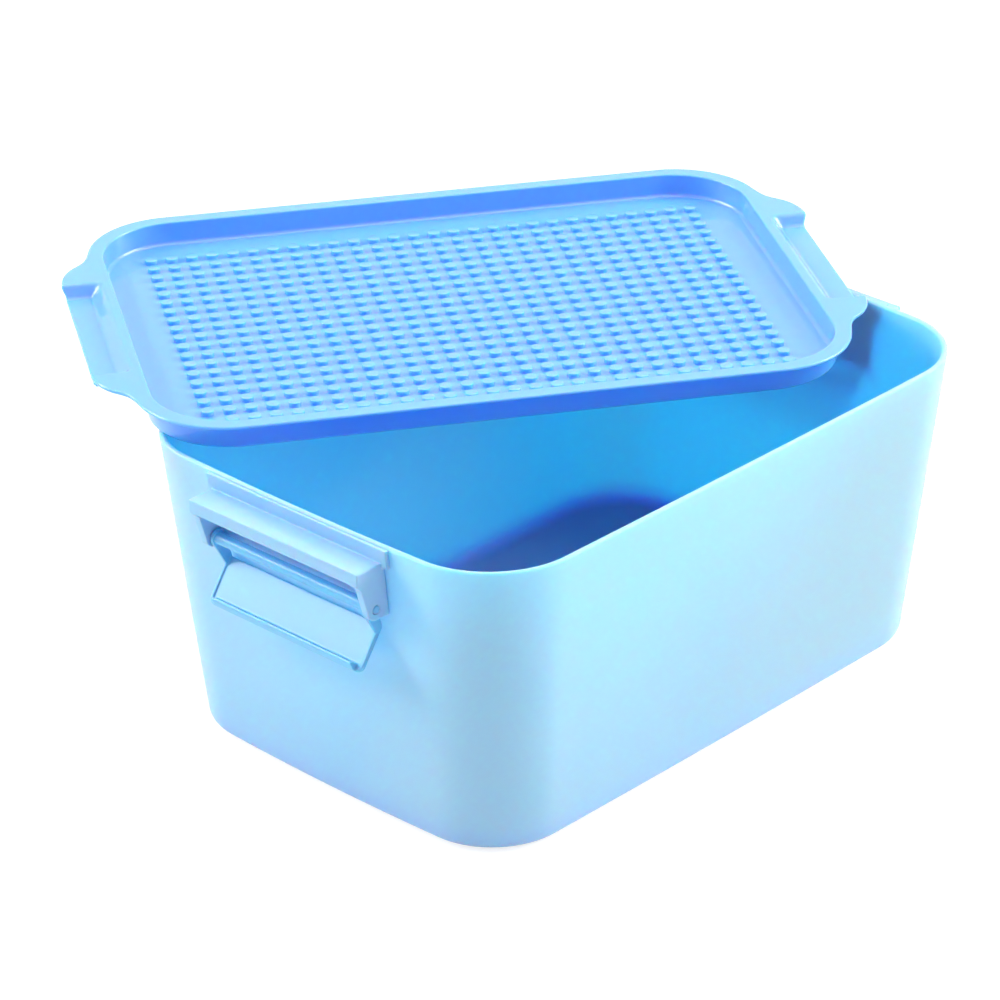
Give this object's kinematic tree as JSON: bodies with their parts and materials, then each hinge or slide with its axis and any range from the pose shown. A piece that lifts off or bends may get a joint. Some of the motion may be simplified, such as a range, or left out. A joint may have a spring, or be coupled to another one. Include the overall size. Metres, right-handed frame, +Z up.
{
  "type": "building block storage box",
  "caption": "Open plastic bin with bowed, tapered walls, a loose studded tray lid and a snap latch hinged on each end.",
  "frame": {"origin": "middle of the flat underside of the box body", "axes": "+X along the box towards the right latch, +Y across the box, +Z up out of the mouth"},
  "size_m": [0.3156, 0.3011, 0.1302],
  "materials": {
    "box_plastic": "satin moulded polypropylene, light blue",
    "latch_plastic": "satin moulded polypropylene, light blue",
    "lid_plastic": "satin moulded plastic, mid blue"
  },
  "bodies": {
    "box": {"box_body": "box_plastic", "left_bracket": "box_plastic", "right_bracket": "box_plastic"},
    "left_latch": {"left_latch": "latch_plastic"},
    "right_latch": {"right_latch": "latch_plastic"},
    "lid": {"lid": "lid_plastic"}
  },
  "joints": [
    {"name": "left_latch_hinge", "type": "hinge", "parent": "box", "child": "left_latch", "pos_m": [-0.13831, 0, 0.0958], "axis": [0, 1, 0], "range_deg": [0, 145.5]},
    {"name": "right_latch_hinge", "type": "hinge", "parent": "box", "child": "right_latch", "pos_m": [0.13831, 0, 0.0958], "axis": [0, -1, 0], "range_deg": [0, 145.5]},
    {"name": "lid_lift", "type": "slide", "parent": "box", "child": "lid", "axis": [0, 0, 1], "range_m": [0, 0.15]}
  ]
}
